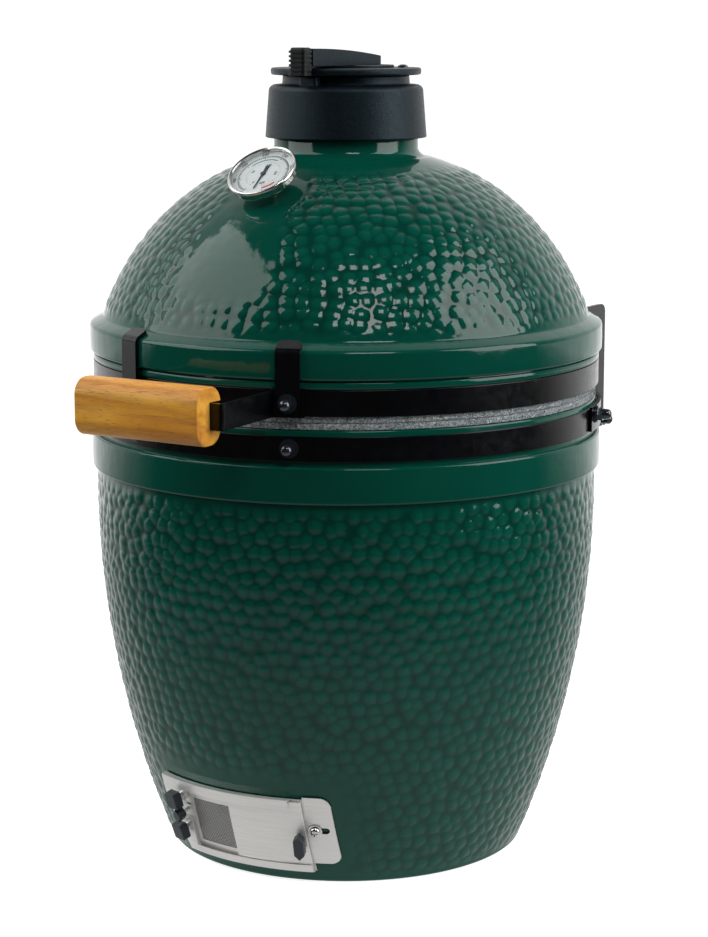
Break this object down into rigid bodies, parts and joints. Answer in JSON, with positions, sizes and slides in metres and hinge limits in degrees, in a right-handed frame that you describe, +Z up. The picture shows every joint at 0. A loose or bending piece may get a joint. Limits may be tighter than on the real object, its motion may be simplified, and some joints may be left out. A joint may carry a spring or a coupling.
{
  "type": "kamado charcoal grill",
  "caption": "Egg-shaped glazed ceramic charcoal grill with a hinged dome on a spring hinge, wooden lid handle, dial thermometer, vent cap and sliding draft door.",
  "frame": {"origin": "centre of the base's underside, on the floor", "axes": "+Z up; -Y is the front, where the lid handle, thermometer and draft door are; +X is to the right of someone who faces +Y"},
  "size_m": [0.476, 0.5743, 0.7226],
  "materials": {
    "green_glaze": "glossy, pebbled",
    "fire_clay": "matte, unglazed",
    "felt": "woolly felt",
    "black_steel": "satin powder coat",
    "black_hardware": "glossy black oxide",
    "bare_steel": "brushed",
    "spring_steel": "drawn wire",
    "cast_iron_bare": "sand cast",
    "cast_black": "fine textured black coat",
    "oiled_wood": "satin oiled",
    "black_rubber": "matte",
    "knob_plastic": "satin",
    "dial_white": "satin",
    "needle_black": "satin",
    "dial_glass": "clear"
  },
  "bodies": {
    "base": {"base_shell": "green_glaze", "base_gasket": "felt", "lower_band": "black_steel", "lower_band_studs": "black_hardware", "lower_band_washers": "black_hardware", "lower_band_nuts": "black_hardware", "hinge_lower_bracket": "black_steel", "hinge_shaft": "bare_steel", "hinge_nuts": "black_hardware", "hinge_springs": "spring_steel", "fire_box": "fire_clay", "fire_grate": "cast_iron_bare", "fire_ring": "fire_clay", "draft_frame": "bare_steel", "draft_screw": "bare_steel", "draft_screw_washer": "bare_steel", "draft_studs": "bare_steel", "draft_thumb_knobs": "knob_plastic"},
    "cooking_grid": {"cooking_grid": "bare_steel"},
    "screen_door": {"screen_door": "bare_steel", "screen_mesh": "bare_steel", "screen_door_knob": "knob_plastic", "screen_door_post": "bare_steel"},
    "solid_door": {"solid_door": "bare_steel", "solid_door_knob": "knob_plastic", "solid_door_post": "bare_steel"},
    "dome": {"dome_shell": "green_glaze", "dome_gasket": "felt", "upper_band": "black_steel", "front_clips": "black_steel", "upper_band_studs": "black_hardware", "upper_band_washers": "black_hardware", "upper_band_nuts": "black_hardware", "hinge_upper_bracket": "black_steel", "handle_bracket": "black_steel", "handle_grip": "oiled_wood", "handle_screws": "black_hardware", "thermometer_case": "bare_steel", "thermometer_stem": "bare_steel", "thermometer_clip": "spring_steel", "thermometer_dial": "dial_white", "thermometer_lens": "dial_glass"},
    "pointer": {"thermometer_pointer": "needle_black"},
    "cap": {"vent_cap": "cast_black", "cap_sleeve": "black_rubber", "lid_pin": "black_hardware"},
    "vent_lid": {"lid_plate": "cast_black", "wheel_rivet": "black_hardware"},
    "vent_wheel": {"vent_wheel": "cast_black", "vent_grip": "black_rubber"}
  },
  "joints": [
    {"name": "dome_hinge", "type": "hinge", "parent": "base", "child": "dome", "pos_m": [0, 0.2395, 0.366], "axis": [-1, 0, 0], "range_deg": [0, 75]},
    {"name": "grid_lift", "type": "slide", "parent": "base", "child": "cooking_grid", "axis": [0, 0, 1], "range_m": [0, 0.06]},
    {"name": "cap_lift", "type": "slide", "parent": "dome", "child": "cap", "axis": [0, 0, 1], "range_m": [0, 0.1]},
    {"name": "lid_swing", "type": "hinge", "parent": "cap", "child": "vent_lid", "pos_m": [0.043, 0.027, 0.7], "axis": [0, 0, 1], "range_deg": [0, 95]},
    {"name": "wheel_turn", "type": "hinge", "parent": "vent_lid", "child": "vent_wheel", "pos_m": [0, 0, 0.705], "axis": [0, 0, 1], "range_deg": [-36, 0]},
    {"name": "screen_door_slide", "type": "hinge", "parent": "base", "child": "screen_door", "pos_m": [0, 0, 0.045], "axis": [0, 0, 1], "range_deg": [-4.5, 0]},
    {"name": "solid_door_slide", "type": "hinge", "parent": "base", "child": "solid_door", "pos_m": [0, 0, 0.045], "axis": [0, 0, 1], "range_deg": [-14.5, 0]},
    {"name": "pointer_turn", "type": "hinge", "parent": "dome", "child": "pointer", "pos_m": [0, -0.1243, 0.6046], "axis": [0, -0.6157, 0.788], "range_deg": [-325, 0]}
  ]
}
